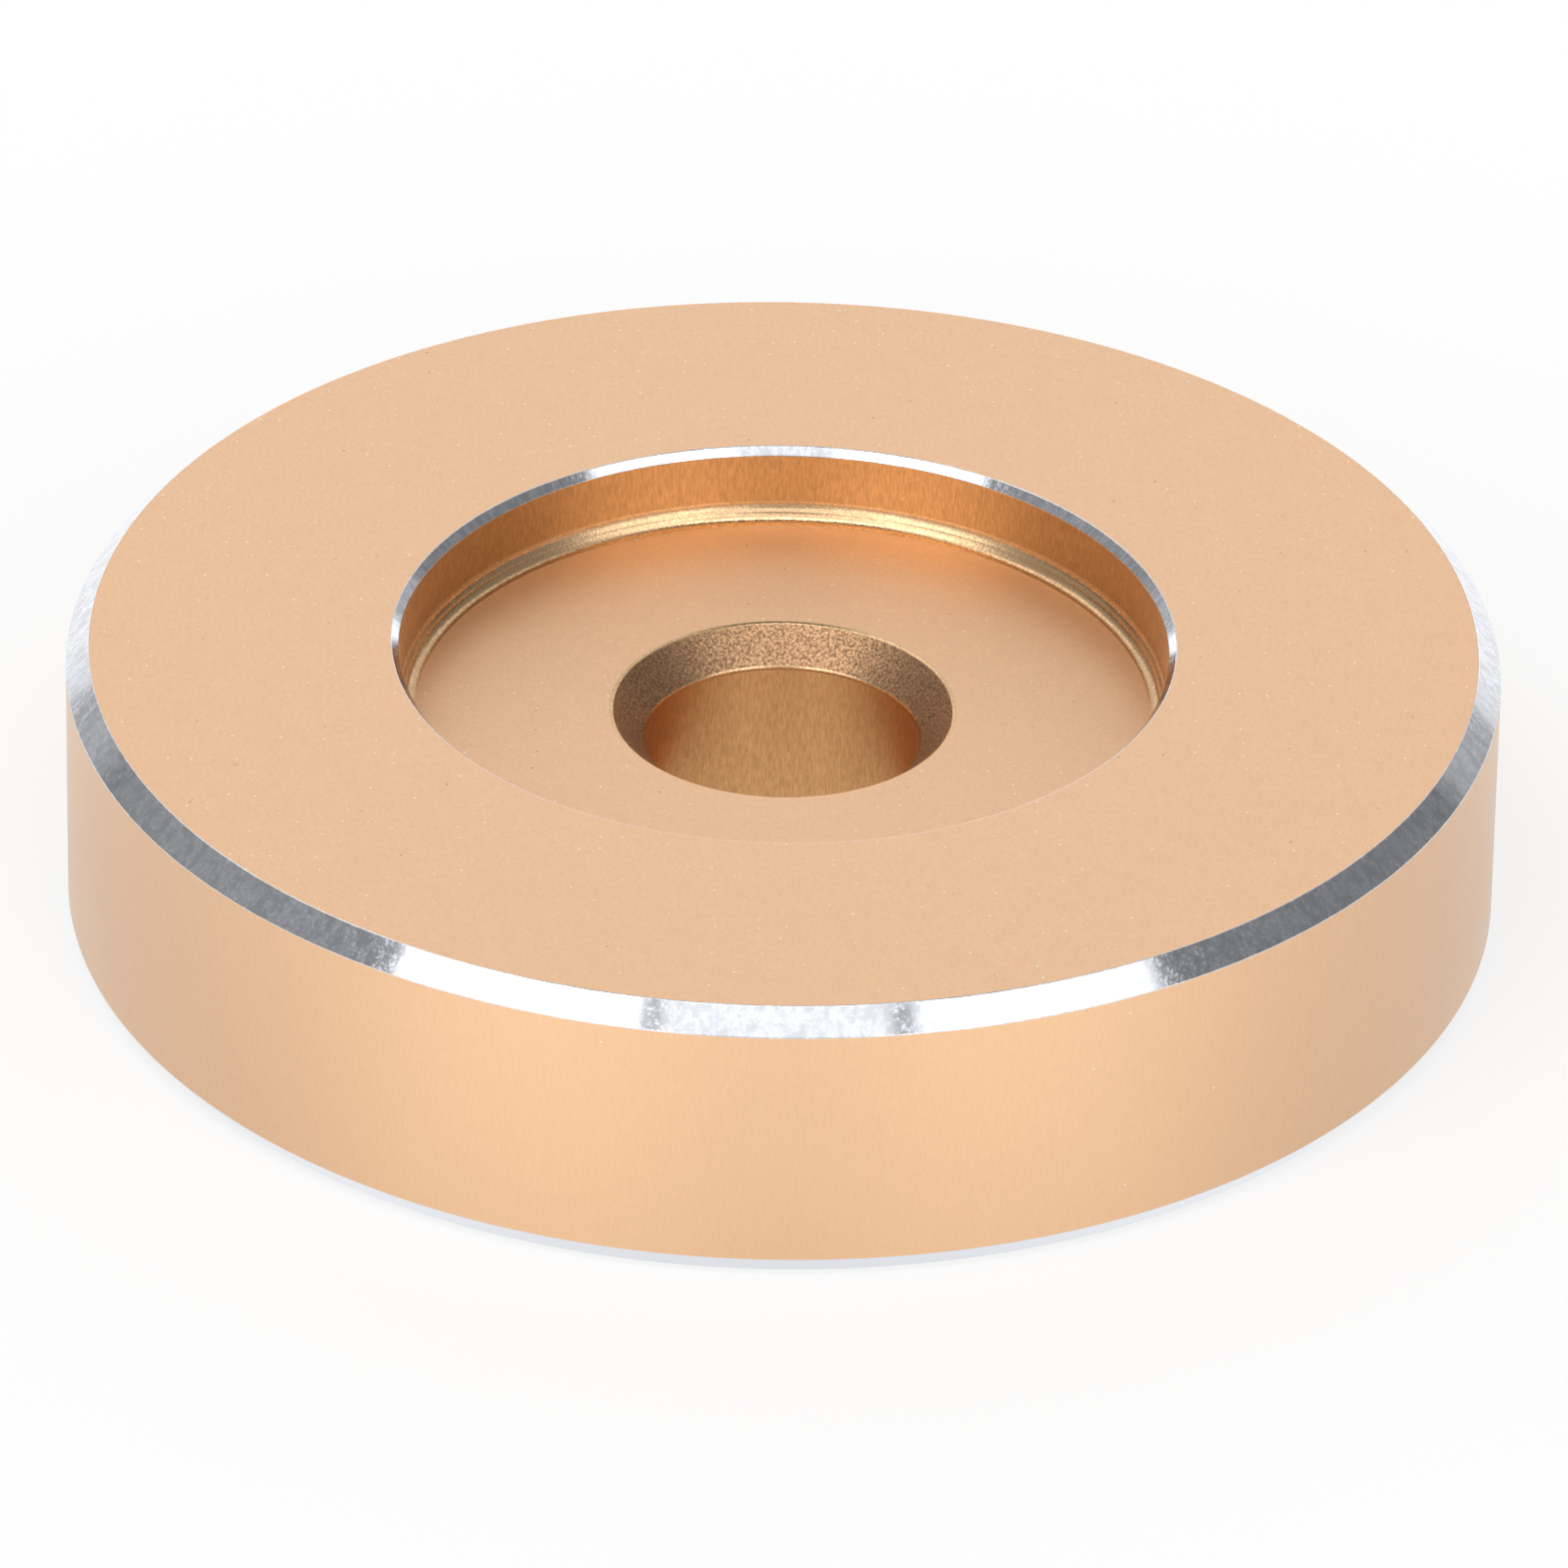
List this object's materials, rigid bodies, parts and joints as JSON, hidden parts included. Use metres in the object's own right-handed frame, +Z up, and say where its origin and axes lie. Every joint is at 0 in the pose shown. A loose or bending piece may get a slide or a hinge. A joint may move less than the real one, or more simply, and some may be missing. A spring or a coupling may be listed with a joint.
{
  "type": "record spindle adapter",
  "caption": "Flat round metal puck that centres a large-hole record on a turntable spindle: chamfered edges, a shallow round recess on top and a countersunk spindle hole through the middle.",
  "frame": {"origin": "centre of the underside, on the disc's axis, where it rests on the platter", "axes": "+Z up along the disc's axis, from the underside to the recessed top face; X and Y are free, because the disc is round"},
  "size_m": [0.038, 0.038, 0.0078],
  "materials": {
    "anodised_aluminium": "fine bead blast under gold anodising, satin on the walls, with the chamfers cut bright and bare"
  },
  "bodies": {
    "root": {"adapter_disc": "anodised_aluminium"}
  },
  "joints": []
}
